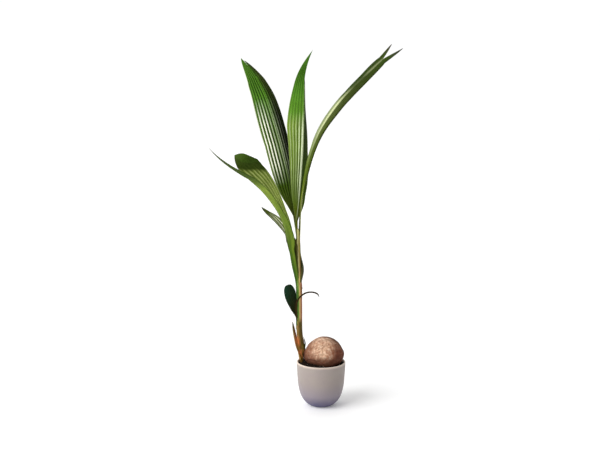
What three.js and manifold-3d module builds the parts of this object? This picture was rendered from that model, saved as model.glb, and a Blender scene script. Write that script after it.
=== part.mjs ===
// Potted young coconut palm. A husked nut lies half sunk in the soil of a plain round pot, and one
// shoot grows from its end: a stem of wrapped leaf sheaths that carries six leaves and two scales.
// A young leaf is not cut into leaflets: it is one pleated blade with a midrib, forked at its tip.
// Millimetres, +Z up, +X to the right and -Y to the front. The origin is the centre of the pot's
// flat underside.
import * as THREE from 'three';
import { mergeVertices } from 'three/addons/utils/BufferGeometryUtils.js';
import Module from 'manifold-3d';

const wasm = await Module();
wasm.setup();

const vec = (p) => new THREE.Vector3(...p);
const rad = THREE.MathUtils.degToRad;
const { clamp, lerp, mapLinear, smoothstep } = THREE.MathUtils;

// Clearance between neighbouring solids
const GAP = 0.3;

// Pot: a round cup that curves in to a small flat foot
const POT = {
  rimRadius: 96,
  bellyRadius: 87,
  footRadius: 38,
  height: 174,
  wall: 6,
  floor: 9,
  sides: 36,
  rings: 9,
};
// How soon the outer curve turns upright, and how quickly it leaves the foot
const POT_CURVE = { upright: 5, flare: 0.72 };
// The flat floor starts this far in from the wall
const FLOOR_CORNER = 4;

// Soil: its height at the pot's wall, and how much it rises towards the middle
const SOIL = { top: 165, mound: 4, rings: 3 };

// Nut: three soft ridges run along the husk, both ends are a little pointed, and the left one,
// where the shoot leaves, is slimmer
const NUT = {
  centre: [10, -4, 203],
  halfLength: 80,
  halfDepth: 62,
  halfHeight: 66,
  ridge: 0.05,
  slimmer: 0.08,
  pointed: 0.14,
  tiltDegrees: 5,
  sides: 24,
  rings: 15,
};

// Stem: points up its middle and the radius at each, from its foot in the soil to the fork
const STEM = [
  { at: [-72, 13, 146], radius: 6 },
  { at: [-78, 13, 180], radius: 7.5 },
  { at: [-78, 12, 210], radius: 12.5 },
  { at: [-81, 10, 252], radius: 12.5 },
  { at: [-84, 8, 297], radius: 11.3 },
  { at: [-85, 5, 417], radius: 11 },
  { at: [-86, 4, 490], radius: 10.6 },
  { at: [-88, 2, 580], radius: 8.2 },
  { at: [-90, 0, 655], radius: 7.3 },
];
const STEM_SIDES = 12;
const STEM_RINGS = 20;

// The three upper stalks stand on the stem's top, spread evenly round its middle
const FORK_SPREAD = 3.9;
const forkFoot = (degrees) => {
  const [x, y, z] = STEM.at(-1).at;
  return [x + FORK_SPREAD * Math.cos(rad(degrees)), y + FORK_SPREAD * Math.sin(rad(degrees)), z + GAP];
};

// Leaves. Each has a rib from the foot of its stalk to the fork of its blade, and two halves.
// face: where the upper side looks, at the foot and at the tip.
// stalk: its radius, the half width of its channel, and the share of the rib that it takes up. A
// scale has no stalk, and this radius only gives the thickness of its foot.
// blade: widest half width, and how bluntly it starts and ends.
// left and right, as seen with the upper side towards the eye: how far each half folds up from
// flat at the foot and at the tip, how much more it bends by its margin, and the bend and tip of
// its lobe beyond the fork. Angles are in degrees.
const LEAVES = [
  {
    name: 'leaf_tall_left',
    rib: [forkFoot(120), [-103, 12, 722], [-128, 48, 903], [-213, 115, 1199], [-253, 134, 1282]],
    face: [[0.35, -0.9, 0.2], [0.3, -0.9, 0.4]],
    stalk: { radius: 3.2, halfWidth: 2, share: 0.14 },
    blade: { halfWidth: 64, start: 0.95, end: 0.75 },
    left: { fold: [-8, -10], curl: -10, bend: [-278, 146, 1322], tip: [-316, 152, 1361] },
    right: { fold: [-20, -26], curl: -30, end: 0.6, bend: [-276, 152, 1312], tip: [-300, 186, 1350] },
    thickness: 8,
    pleats: 3,
    pleatDepth: 1.6,
    finish: 'leaf',
  },
  {
    name: 'leaf_centre',
    rib: [forkFoot(240), [-96, -2, 724], [-88, 3, 808], [-72, 9, 1019], [-66, 4, 1249]],
    face: [[0.1, -1, 0.1], [-0.05, -1, 0.1]],
    stalk: { radius: 3.2, halfWidth: 2, share: 0.12 },
    blade: { halfWidth: 62, start: 0.85, end: 1.05 },
    left: { fold: [-14, -10], curl: -10, bend: [-64, -2, 1310], tip: [-34, -16, 1375] },
    right: { fold: [-64, -76], curl: -14, width: 0.9, bend: [-66, 12, 1284], tip: [-66, 52, 1316] },
    thickness: 7.4,
    pleats: 3,
    pleatDepth: 1.6,
    finish: 'leaf',
  },
  {
    name: 'leaf_arching_right',
    rib: [forkFoot(0), [-76, -16, 810], [-20, -58, 1045], [65, -90, 1182], [163, -118, 1274],
      [219, -130, 1326]],
    face: [[-0.97, -0.06, 0.15], [-0.66, -0.2, 0.71]],
    stalk: { radius: 3.2, halfWidth: 2, share: 0.16 },
    blade: { halfWidth: 52, start: 1.1, end: 0.75 },
    left: { fold: [8, -6], curl: -8, bend: [236, -128, 1350], tip: [251, -112, 1384] },
    right: { fold: [8, -6], curl: -8, bend: [242, -138, 1342], tip: [286, -152, 1364] },
    thickness: 8.8,
    pleats: 3,
    pleatDepth: 1.4,
    finish: 'leaf',
  },
  {
    name: 'leaf_bent_left',
    rib: [[-99, -12, 478], [-117, -20, 614], [-165, -48, 778], [-225, -71, 863], [-270, -88, 904]],
    face: [[1, -0.35, 0.25], [0.3, -0.1, 0.95]],
    stalk: { radius: 4.2, halfWidth: 13, share: 0.3 },
    blade: { halfWidth: 62, start: 0.9, end: 0.8 },
    left: { fold: [48, 6], curl: 12, bend: [-372, -120, 948], tip: [-416, -134, 1010] },
    right: {
      fold: [48, 56], curl: 10, width: 1.1, end: 0.3, bend: [-312, -90, 932], tip: [-330, -60, 974],
    },
    thickness: 6.8,
    pleats: 3,
    pleatDepth: 1.4,
    finish: 'leaf',
  },
  {
    name: 'leaf_small_back',
    rib: [[-74, 17, 470], [-87, 25, 588], [-137, 36, 681], [-236, 58, 775]],
    face: [[-1, -0.3, 0.2], [0.5, -0.5, 0.7]],
    stalk: { radius: 3, halfWidth: 9, share: 0.12 },
    blade: { halfWidth: 24, start: 0.5, end: 0.8 },
    left: { fold: [40, 20], curl: 10 },
    right: { fold: [40, 20], curl: 10 },
    thickness: 3.8,
    pleats: 2,
    pleatDepth: 0.8,
    finish: 'leaf',
  },
  {
    name: 'leaf_lowest',
    rib: [[-95, -17, 330], [-97, -20, 375], [-98, -24, 412]],
    face: [[0.2, -1, 0.1], [0.2, -1, 0.1]],
    stalk: { radius: 2.6, halfWidth: 3, share: 0.3 },
    blade: { halfWidth: 43, start: 0.95, end: 0.32 },
    left: { fold: [10, 0], curl: -10, bend: [-92, -28, 464], tip: [-127, -32, 485] },
    right: { fold: [20, 20], curl: 1, width: 0.07, bend: [-52, -40, 487], tip: [-11, -56, 446] },
    thickness: 2.2,
    pleats: 2,
    pleatDepth: 0.6,
    finish: 'darkLeaf',
  },
  {
    name: 'scale_left',
    rib: [[-90, -6, 214], [-104, -12, 280], [-112, -15, 337]],
    face: [[0.9, -0.2, 0.2], [0.9, -0.2, 0.2]],
    stalk: { radius: 2, halfWidth: 9, share: 0 },
    blade: { halfWidth: 11, start: 0.2, end: 0.9 },
    left: { fold: [35, 20], curl: 20 },
    right: { fold: [35, 20], curl: 20 },
    thickness: 2.4,
    pleats: 1,
    pleatDepth: 0.3,
    finish: 'scale',
  },
  {
    name: 'scale_right',
    rib: [[-64, 2, 240], [-65, 1, 254], [-69, 0, 270]],
    face: [[-0.9, -0.2, 0.2], [-0.9, -0.2, 0.2]],
    stalk: { radius: 1.6, halfWidth: 5, share: 0 },
    blade: { halfWidth: 6, start: 0.2, end: 0.8 },
    left: { fold: [20, 10], curl: 10 },
    right: { fold: [20, 10], curl: 10 },
    thickness: 2.2,
    pleats: 1,
    pleatDepth: 0,
    finish: 'darkLeaf',
  },
];
const STATION_LENGTH = 60;
const MIN_STATIONS = 4;
const MIN_HALF_WIDTH = 1.6;
// Each half starts this far across the rib line, so that the two halves fuse
const RIB_OVERLAP = 1.2;
const STALK_SIDES = 8;
const STALK_RINGS = 5;
// The round stalk runs this share of the rib up into the blade
const STALK_OVERLAP = 0.05;

// Materials, with colours as seen in daylight
const finish = (color, roughness) => new THREE.MeshStandardMaterial({ color, roughness, metalness: 0 });
const FINISH = {
  pot: finish(0xaea399, 0.55),
  soil: finish(0x2a1a12, 1),
  nut: finish(0xb8926f, 0.85),
  stem: finish(0xb59a58, 0.6),
  leaf: finish(0x4c7a2a, 0.4),
  darkLeaf: finish(0x22381f, 0.45),
  scale: finish(0x9a7a48, 0.8),
};

// Moves every vertex of a geometry to the place that the function gives for it.
function warp(geometry, place) {
  const position = geometry.getAttribute('position');
  const point = new THREE.Vector3();
  for (let i = 0; i < position.count; i += 1) {
    point.fromBufferAttribute(position, i);
    position.setXYZ(i, ...place(point));
  }
  return geometry;
}

function toSolid(geometry) {
  const bare = new THREE.BufferGeometry();
  bare.setAttribute('position', geometry.getAttribute('position'));
  bare.setIndex(geometry.index);
  const merged = mergeVertices(bare, 1e-3);
  const mesh = new wasm.Mesh({
    numProp: 3,
    vertProperties: merged.getAttribute('position').array,
    triVerts: new Uint32Array(merged.index.array),
  });
  return new wasm.Manifold(mesh);
}

function toGeometry(solid) {
  const mesh = solid.getMesh();
  const geometry = new THREE.BufferGeometry();
  geometry.setAttribute('position', new THREE.BufferAttribute(mesh.vertProperties, 3));
  geometry.setIndex(new THREE.BufferAttribute(mesh.triVerts, 1));
  geometry.computeVertexNormals();
  return geometry;
}

// Turns a profile, given as radius and height from the axis back to the axis, about +Z.
function turned(profile, sides) {
  return new THREE.LatheGeometry(profile, sides).rotateX(Math.PI / 2);
}

// The pot's outer curve, moved inwards by an inset, from the foot up to a height. Its rings lie
// closer together near the foot.
function potCurve(inset, top) {
  const outer = (z) => {
    const flare = (1 - (1 - z / POT.height) ** POT_CURVE.upright) ** POT_CURVE.flare;
    const wall = lerp(POT.bellyRadius, POT.rimRadius, z / POT.height);
    return new THREE.Vector2(POT.footRadius + (wall - POT.footRadius) * flare, z);
  };
  const points = [];
  for (let i = 0; i <= POT.rings; i += 1) {
    const z = top * (i / POT.rings) ** 1.8;
    const here = outer(z);
    const along = outer(z + 0.1).sub(outer(Math.max(0, z - 0.1))).normalize();
    points.push(new THREE.Vector2(here.x - inset * along.y, here.y + inset * along.x));
  }
  return points;
}

function makePot() {
  const lip = POT.wall / 2;
  const outside = potCurve(0, POT.height - lip);
  const inside = potCurve(POT.wall, POT.height - lip).filter((p) => p.y > POT.floor + 1);
  const lipArc = [45, 90, 135].map((degrees) => new THREE.Vector2(
    POT.rimRadius - lip + lip * Math.cos(rad(degrees)),
    POT.height - lip + lip * Math.sin(rad(degrees)),
  ));
  const underside = [new THREE.Vector2(0, 0)];
  const floor = [new THREE.Vector2(inside[0].x - FLOOR_CORNER, POT.floor), new THREE.Vector2(0, POT.floor)];
  return toSolid(turned([...underside, ...outside, ...lipArc, ...inside.reverse(), ...floor], POT.sides));
}

function makeSoil() {
  const bottom = POT.floor + GAP;
  const wall = potCurve(POT.wall + GAP, SOIL.top).filter((p) => p.y > bottom + 1 && p.y < SOIL.top);
  const edge = wall.at(-1).x;
  const surface = [];
  for (let i = 0; i <= SOIL.rings; i += 1) {
    const share = 1 - i / SOIL.rings;
    surface.push(new THREE.Vector2(edge * share, SOIL.top + SOIL.mound * (1 - share ** 2)));
  }
  const base = [new THREE.Vector2(0, bottom), new THREE.Vector2(wall[0].x - FLOOR_CORNER, bottom)];
  return toSolid(turned([...base, ...wall, ...surface], POT.sides));
}

// The husk. Its long axis runs along X, and its section is a soft triangle with one ridge on top.
function makeNut(grow) {
  const place = (unit) => {
    const around = Math.atan2(unit.z, unit.x);
    const ridges = 1 + NUT.ridge * Math.cos(3 * around) * (1 - unit.y ** 2);
    const slim = (1 + NUT.slimmer * unit.y) * (1 - unit.y ** 2) ** NUT.pointed;
    return [
      unit.y * (NUT.halfLength + grow),
      unit.z * (NUT.halfDepth + grow) * ridges * slim,
      unit.x * (NUT.halfHeight + grow) * ridges * slim,
    ];
  };
  const husk = warp(new THREE.SphereGeometry(1, NUT.sides, NUT.rings), place);
  return toSolid(husk.rotateY(-rad(NUT.tiltDegrees)).translate(...NUT.centre));
}

// A round limb along the first part of a curve, with a radius for each point of its middle line.
function limb(curve, reach, radiusAt, sides, rings) {
  const back = new THREE.Vector3(0, 1, 0);
  const place = (unit) => {
    const share = (unit.y + 0.5) * reach;
    const middle = curve.getPointAt(share);
    const along = curve.getTangentAt(share);
    const across = new THREE.Vector3().crossVectors(back, along).normalize();
    const out = new THREE.Vector3().crossVectors(along, across);
    const radius = radiusAt(middle);
    return middle.addScaledVector(across, unit.x * radius).addScaledVector(out, -unit.z * radius);
  };
  return toSolid(warp(new THREE.CylinderGeometry(1, 1, 1, sides, rings), place));
}

function makeStem(grow) {
  const radiusAt = (middle) => {
    const next = Math.max(1, STEM.findIndex((point) => point.at[2] >= Math.floor(middle.z)));
    const [low, high] = [STEM[next - 1], STEM[next]];
    return grow + mapLinear(middle.z, low.at[2], high.at[2], low.radius, high.radius);
  };
  const route = new THREE.CatmullRomCurve3(STEM.map((point) => vec(point.at)));
  return limb(route, 1, radiusAt, STEM_SIDES, STEM_RINGS);
}

// The width of half a blade at a share of its length: a rounded outline on top of the stalk's channel.
function widthRule(leaf, half, bladeStart) {
  const { start } = leaf.blade;
  const end = half.end ?? leaf.blade.end;
  const widest = (start / (start + end)) ** start * (end / (start + end)) ** end;
  const halfWidth = leaf.blade.halfWidth * (half.width ?? 1);
  return (share) => {
    const v = clamp((share - bladeStart) / (1 - bladeStart), 0, 1);
    const channel = leaf.stalk.halfWidth * (1 - smoothstep(v, 0, 0.4));
    return Math.max(MIN_HALF_WIDTH, channel + (halfWidth * v ** start * (1 - v) ** end) / widest);
  };
}

// The thickness of a blade at a share of its length: it grows out of the stalk.
function thicknessRule(leaf, bladeStart) {
  const atFoot = 1.6 * leaf.stalk.radius;
  return (share) => lerp(atFoot, leaf.thickness, smoothstep(share, 0, bladeStart + 0.1));
}

// One half of a blade, as a thin slab from the rib line to the margin. side is -1 for left.
function makeHalf(leaf, rib, side) {
  const half = side < 0 ? leaf.left : leaf.right;
  const line = new THREE.CurvePath();
  line.add(rib);
  if (half.tip) {
    line.add(new THREE.QuadraticBezierCurve3(rib.getPoint(1), vec(half.bend), vec(half.tip)));
  }
  const bladeStart = (leaf.stalk.share * rib.getLength()) / line.getLength();
  const widthAt = widthRule(leaf, half, bladeStart);
  const thicknessAt = thicknessRule(leaf, bladeStart);
  const faces = leaf.face.map((f) => vec(f).normalize());
  const curl = rad(half.curl);

  const place = (unit) => {
    const share = unit.y + 0.5;
    const along = line.getTangent(share);
    const face = faces[0].clone().lerp(faces[1], smoothstep(share, 0, 1));
    face.addScaledVector(along, -face.dot(along)).normalize();
    const across = new THREE.Vector3().crossVectors(along, face).multiplyScalar(side);

    const width = widthAt(share);
    const c = 0.5 + side * unit.x;
    const fold = rad(lerp(...half.fold, share));
    const angle = fold + curl * c;
    const overlap = RIB_OVERLAP * (1 - c);
    const run = ((Math.sin(angle) - Math.sin(fold)) / curl) * width - overlap * Math.cos(fold);
    const rise = ((Math.cos(fold) - Math.cos(angle)) / curl) * width - overlap * Math.sin(fold);
    const isCrest = Math.round(c * 2 * leaf.pleats) % 2;
    const crest = isCrest * leaf.pleatDepth * Math.min(1, width / leaf.blade.halfWidth);
    const out = unit.z * thicknessAt(share) + crest;
    return line.getPoint(share)
      .addScaledVector(across, run - Math.sin(angle) * out)
      .addScaledVector(face, rise + Math.cos(angle) * out);
  };
  const stations = MIN_STATIONS + Math.round(line.getLength() / STATION_LENGTH);
  return toSolid(warp(new THREE.BoxGeometry(1, 1, 1, 2 * leaf.pleats, stations, 1), place));
}

function makeLeaf(leaf) {
  const rib = new THREE.CatmullRomCurve3(leaf.rib.map(vec));
  const blade = makeHalf(leaf, rib, -1).add(makeHalf(leaf, rib, 1));
  const { radius, share } = leaf.stalk;
  if (share === 0) {
    return blade;
  }
  return blade.add(limb(rib, share + STALK_OVERLAP, () => radius, STALK_SIDES, STALK_RINGS));
}

const palm = new THREE.Group();
palm.name = 'potted_young_coconut_palm';

function addPart(name, solid, material) {
  const mesh = new THREE.Mesh(toGeometry(solid), material);
  mesh.name = name;
  palm.add(mesh);
}

const stem = makeStem(0);
const stemRoom = makeStem(GAP);
const nut = makeNut(0).subtract(stemRoom);
const nutRoom = makeNut(GAP).add(stemRoom);

addPart('pot', makePot(), FINISH.pot);
addPart('soil', makeSoil().subtract(nutRoom), FINISH.soil);
addPart('coconut', nut, FINISH.nut);
addPart('stem', stem, FINISH.stem);
for (const leaf of LEAVES) {
  addPart(leaf.name, makeLeaf(leaf).subtract(stemRoom), FINISH[leaf.finish]);
}

export default palm;
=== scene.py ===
"""Looks of a potted young coconut palm, in the frame of its solids: metres, +Z up, -Y to the front.

Sizes in the tables are millimetres, as in the solids, and become metres when a mesh is made. Colours
are three values from 0 to 255, as a screen shows them. Each mesh carries marks, which are numbers on
its vertices that its material reads: how far a point lies along a leaf, how far across it, and so on.
"""
import math

import bpy
import numpy as np
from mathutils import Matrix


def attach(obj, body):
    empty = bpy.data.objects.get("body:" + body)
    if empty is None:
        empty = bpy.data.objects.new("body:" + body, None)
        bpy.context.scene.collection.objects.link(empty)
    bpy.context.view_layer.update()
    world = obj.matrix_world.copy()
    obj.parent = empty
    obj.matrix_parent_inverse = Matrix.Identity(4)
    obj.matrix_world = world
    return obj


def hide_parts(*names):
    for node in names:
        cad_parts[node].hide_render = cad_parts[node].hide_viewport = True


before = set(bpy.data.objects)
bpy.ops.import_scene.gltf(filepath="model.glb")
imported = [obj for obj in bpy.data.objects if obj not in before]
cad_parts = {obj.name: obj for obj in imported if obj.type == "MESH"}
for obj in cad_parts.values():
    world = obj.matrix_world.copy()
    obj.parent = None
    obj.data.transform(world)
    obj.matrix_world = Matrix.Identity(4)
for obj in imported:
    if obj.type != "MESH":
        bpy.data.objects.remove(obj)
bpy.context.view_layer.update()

MM = 0.001
# Clear space between one solid and the next
GAP = 0.3
BACK = (0.0, 1.0, 0.0)

# Camera of the photograph: its place, tilt below level, and focal length on a 36 mm wide sensor
CAMERA = {"at": (-0.0826, -3.0, 1.031), "down_deg": 6.07, "lens_mm": 46.92, "sensor_mm": 36.0}

# Light. ROOM and WALL each turn a measure of direction into brightness: two values of the measure,
# then the brightness at each. ROOM's measure is how far a direction lies toward BRIGHT_SIDE, and
# WALL's is how far it points up. The floor glows a little, so that it looks white from every side.
ROOM = (-0.12, 0.46, 0.18, 1.03)
BRIGHT_SIDE = (-0.35, 0.94, 0.0)
WALL = (0.12, 0.2, 1.03, 0.0)
LAMP = {"toward": (0.7, 0.5, -0.6), "power": 2.6, "spread_deg": 48}
FLOOR = {"reach_m": 600, "glow": 0.14}

# Pot, soil, nut and stem, as in the solids
POT = {"rim": 96, "belly": 87, "foot": 38, "height": 174, "wall": 6, "floor": 9, "lip": 3}
POT_CURVE = {"upright": 5, "flare": 0.72}
SOIL = {"top": 165, "mound": 4}
NUT = {
    "centre": (10, -4, 203), "half_length": 80, "half_depth": 62, "half_height": 66,
    "ridge": 0.05, "slimmer": 0.08, "pointed": 0.14, "tilt_deg": 5,
}
# The husk's broken side, low in front: the way it faces, and how far it is from the nut's middle
FACET = {"toward": (-0.42, -0.6, -0.68), "reach": 52.5}
# A painted highlight on the husk's front: its middle, and how far it reaches
HUSK_HIGHLIGHT = {"at": (-4, -58, 228), "reach": 60}
# Points up the stem's middle, with the radius at each
STEM = (
    ((-72, 13, 146), 6), ((-78, 13, 180), 7.5), ((-78, 12, 210), 12.5), ((-81, 10, 252), 12.5),
    ((-84, 8, 297), 11.3), ((-85, 5, 417), 11), ((-86, 4, 490), 10.6), ((-88, 2, 580), 8.2),
    ((-90, 0, 655), 7.3),
)
FORK_SPREAD = 3.9
# Heights in the stem's marks are shares of this
HEIGHT_UNIT = 700


def fork_foot(degrees):
    """Where an upper stalk stands on the stem's top."""
    x, y, z = STEM[-1][0]
    angle = math.radians(degrees)
    return (x + FORK_SPREAD * math.cos(angle), y + FORK_SPREAD * math.sin(angle), z + GAP)


# Leaves, as in the solids, with more folds and a real blade's thickness. face is the way the blade
# looks at its foot and tip. stalk is its radius, half width of its channel and share of the rib, and
# foot a factor on the channel at the very foot. blade is its half width and how bluntly it starts and
# ends. folds is how many pleats a half has, how deep they are and how much its margin waves.
# left and right, or both where they are alike, give each half's values at even steps from foot to tip:
# fold, how far it folds up, and curl, how much more it bends by its margin, in degrees, and width, a
# factor. end is its own bluntness, and bend and tip are the points of its lobe.
LEAVES = {
    "leaf_tall_left": {
        "rib": (fork_foot(120), (-103, 12, 722), (-128, 48, 903), (-213, 115, 1199), (-253, 134, 1282)),
        "face": ((0.35, -0.9, 0.2), (0.3, -0.9, 0.4)),
        "stalk": (3.0, 4.5, 0.14), "blade": (65, 0.84, 0.75),
        "left": {"fold": (50, 0, -9, -9, -10), "curl": (20, -8, -10, -10, -10),
                 "width": (1, 1.06, 1.36, 1.28, 1.12, 1, 1, 1, 1, 1, 1),
                 "bend": (-278, 146, 1322), "tip": (-316, 152, 1361)},
        "right": {"fold": (40, -2, -7, -9, -10), "curl": (20, -40, -56, -53, -52), "end": 0.6,
                  "width": (1, 1, 1, 1, 1, 1, 1.02, 1.05, 1.07, 1.1, 1.1),
                  "bend": (-276, 152, 1316), "tip": (-306, 178, 1354)},
        "folds": (5, 1.8, 1.6),
    },
    "leaf_centre": {
        "rib": (fork_foot(240), (-96, -2, 724), (-88, 3, 808), (-72, 9, 1019), (-66, 4, 1249)),
        "face": ((0.1, -1, 0.1), (-0.05, -1, 0.1)),
        "stalk": (3.0, 4.5, 0.12), "blade": (68, 1.25, 1.2),
        "left": {"fold": (50, -4, -14, -12, -10), "curl": (20, -8, -10, -10, -10),
                 "width": (1, 1, 0.92, 0.81, 0.79, 0.86, 1, 1, 1, 1, 1),
                 "bend": (-64, -2, 1310), "tip": (-34, -16, 1375)},
        "right": {"fold": (40, -40, -66, -80, -92), "curl": (10, -12, -14, -14, -14), "width": (1.14,),
                  "bend": (-66, 12, 1284), "tip": (-66, 52, 1316)},
        "folds": (5, 1.5, 1.2),
    },
    "leaf_arching_right": {
        "rib": (fork_foot(0), (-76, -16, 810), (-20, -58, 1045), (65, -90, 1182), (160, -118, 1276),
                (216, -130, 1328)),
        "face": ((-0.92, -0.36, 0.15), (-0.61, -0.36, 0.7)),
        "stalk": (3.0, 4.5, 0.14), "blade": (53, 1.15, 0.75),
        "left": {"fold": (30, 10, 2, -2, -4, -6, -9, -10, -3, 8, 12), "curl": (10, -8, -8, -8, -8),
                 "bend": (234, -128, 1352), "tip": (251, -112, 1384)},
        "right": {"fold": (30, 14, 11, 4, -2, -3), "curl": (10, -8, -8, -8, -8),
                  "width": (1, 1, 1, 1, 1, 1.02, 1.17, 1.2, 1.06, 1.15, 1),
                  "bend": (242, -138, 1342), "tip": (286, -152, 1364)},
        "folds": (5, 1.5, 1.2),
    },
    "leaf_bent_left": {
        "rib": ((-96, 8, 300), (-97, 6, 400), (-98, 3, 480), (-114, -10, 560), (-132, -24, 660),
                (-160, -42, 750), (-219, -64, 838), (-273, -84, 891)),
        "face": ((1, 0.1, 0.1), (0.3, -0.1, 0.95)),
        "stalk": (1.6, 23, 0.5), "foot": 0.46, "blade": (62, 1.0, 0.8),
        "left": {"fold": (4, 12, 36, 26, 20, 20, 14, 6), "curl": (41, 60, 60, 50, 10, 6, 4, 4),
                 "width": (1, 1, 1, 1, 1.1, 0.82, 1.0, 1, 1.1, 1.3, 1.8),
                 "bend": (-372, -120, 948), "tip": (-416, -134, 1010)},
        "right": {"fold": (4, 6, 10, 34, 48, 50, 54, 56), "curl": (41, 41, 80, 50, 12, 10, 10, 10),
                  "width": (1.27, 1.27, 1.27, 1.27, 1.2, 1.0, 0.97, 1.14, 1.36, 1.4, 1.3),
                  "end": 0.36, "bend": (-330, -92, 932), "tip": (-328, -58, 982)},
        "folds": (6, 1.2, 1.2),
    },
    "leaf_small_back": {
        "rib": ((-75, 15, 460), (-92, 16, 530), (-118, 18, 600), (-128, 22, 637), (-137, 28, 674),
                (-184, 42, 736), (-234, 58, 777)),
        "face": ((-1, -0.3, 0.2), (0.5, -0.6, 0.6)),
        "stalk": (2.4, 5, 0.5), "blade": (34, 0.8, 0.8),
        "left": {"fold": (50, 36, 20, 12), "curl": (30, 14, 10, 10),
                 "width": (1, 1, 1, 1, 1, 0.25, 0.2, 0.5, 0.75, 1, 1)},
        "right": {"fold": (50, 36, 20, 12), "curl": (30, 14, 10, 10),
                  "width": (1, 1, 1, 1, 1, 0.5, 0.6, 0.6, 0.52, 0.3, 0.3)},
        "folds": (2, 1.4, 0.8),
    },
    "leaf_lowest": {
        "rib": ((-95, -13, 338), (-98, -17, 362), (-106, -21, 388), (-118, -26, 434), (-124, -29, 462),
                (-130, -30, 484)),
        "face": ((0.3, -1, 0.1), (0.25, -0.95, 0.15)),
        "stalk": (2.0, 3, 0.1), "blade": (23, 1.0, 0.4),
        "both": {"fold": (40, 14, 8, 4), "curl": (20, -8, -10, -10)},
        "folds": (4, 0.5, 0.5),
    },
    "scale_left": {
        "rib": ((-76, 0, 178), (-86, -2, 206), (-98, -6, 240), (-104, -10, 272), (-109, -13, 304),
                (-112, -15, 336)),
        "face": ((0.6, -0.9, 0.1), (0.5, -0.9, 0.2)),
        "stalk": (1.6, 4, 0.02), "blade": (11, 0.5, 0.7),
        "both": {"fold": (20, 30, 24), "curl": (70, 40, 20)},
        "folds": (2, 0.3, 0.3),
    },
    "scale_right": {
        "rib": ((-64, 3, 226), (-61, 2, 243), (-64, 1, 258), (-69, 0, 272)),
        "face": ((-0.9, -0.2, 0.2), (-0.9, -0.2, 0.2)),
        "stalk": (1.2, 3.5, 0.02), "blade": (5.5, 0.2, 0.7),
        "both": {"fold": (20, 10), "curl": (50, 20)},
        "folds": (1, 0.0, 0.0),
    },
}
# The lowest leaf's curled strand: points along it, and its thickness at the foot and the tip
STRAND = ((-95, -20, 352), (-96, -26, 392), (-93, -31, 420), (-80, -38, 440), (-62, -42, 453),
          (-42, -46, 458), (-24, -50, 456), (-13, -53, 449), (-9, -55, 438))
STRAND_RADIUS = (4.2, 2.8)
# Distance between the rows of points along a leaf, and how many points lie across each pleat
STATION = 4.5
COLUMNS_PER_FOLD = 8
# How straight the sides of a pleat are, up to 1
PLEAT_SHARPNESS = 0.93
TIP_HALF_WIDTH = 0.35
BLADE_THICKNESS = 0.9
EDGE_THICKNESS = 0.45


# Shared arithmetic

def smooth(x, low, high):
    """0 below low, 1 above high, and smooth between."""
    t = np.clip((np.asarray(x, float) - low) / (high - low), 0, 1)
    return t * t * (3 - 2 * t)


def lerp(a, b, t):
    return a + (b - a) * t


def unit(v):
    return v / np.maximum(np.linalg.norm(v, axis=-1, keepdims=True), 1e-9)


def turns(sides):
    """Even angles all the way round."""
    return np.linspace(0, 2 * math.pi, sides, endpoint=False)


def steps(values, share):
    """Values given at even steps, read between them at each share."""
    return np.interp(share, np.linspace(0, 1, len(values)), values)


def halves(table):
    """What a table says of the left half and of the right."""
    return [table.get(side) or table["both"] for side in ("left", "right")]


def lattice_noise(points, size, seed):
    """Smooth noise from -1 to 1 at each point, with lumps of about the given size."""
    cells = 64
    table = np.random.default_rng(seed).uniform(-1, 1, (cells, cells, cells))
    q = np.asarray(points, float) / size + 31.7
    low = np.floor(q).astype(int)
    t = q - low
    t = t * t * (3 - 2 * t)
    total = np.zeros(q.shape[:-1])
    for corner in np.ndindex(2, 2, 2):
        share = np.prod(np.where(np.array(corner), t, 1 - t), axis=-1)
        i, j, k = np.moveaxis((low + corner) % cells, -1, 0)
        total += share * table[i, j, k]
    return total


def layered_noise(points, size, seed, layers=3):
    """Noise in layers, each half as large and half as strong as the one before."""
    parts = [lattice_noise(points, size / 2 ** n, seed + n) / 2 ** n for n in range(layers)]
    return sum(parts)


def noise_along(values, seed):
    """Noise along one measure, with lumps of about 1."""
    return lattice_noise(np.stack([values, 0 * values, 0 * values], -1), 1.0, seed)


def fibre_noise(angle, spread, height, size, seed):
    """Noise in streaks along an axis, at angles about it and heights on it. spread is the radius at
    which the angles are read."""
    points = np.stack([np.cos(angle) * spread, np.sin(angle) * spread, height], -1)
    return layered_noise(points, size, seed, 2)


def smooth_curve(points):
    """Points close together on the centripetal curve through the given ones."""
    p = np.array(points, float)
    p = np.vstack([2 * p[0] - p[1], p, 2 * p[-1] - p[-2]])
    t = np.linspace(0, 1, 40, endpoint=False)[:, None]
    spans = []
    for p0, p1, p2, p3 in zip(p, p[1:], p[2:], p[3:]):
        d0, d1, d2 = (math.sqrt(np.linalg.norm(b - a)) for a, b in ((p0, p1), (p1, p2), (p2, p3)))
        m1 = ((p1 - p0) / d0 - (p2 - p0) / (d0 + d1) + (p2 - p1) / d1) * d1
        m2 = ((p2 - p1) / d1 - (p3 - p1) / (d1 + d2) + (p3 - p2) / d2) * d1
        spans.append(p1 + m1 * t + (3 * (p2 - p1) - 2 * m1 - m2) * t ** 2
                     + (2 * (p1 - p2) + m1 + m2) * t ** 3)
    return np.vstack([*spans, p[-2:-1]])


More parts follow.
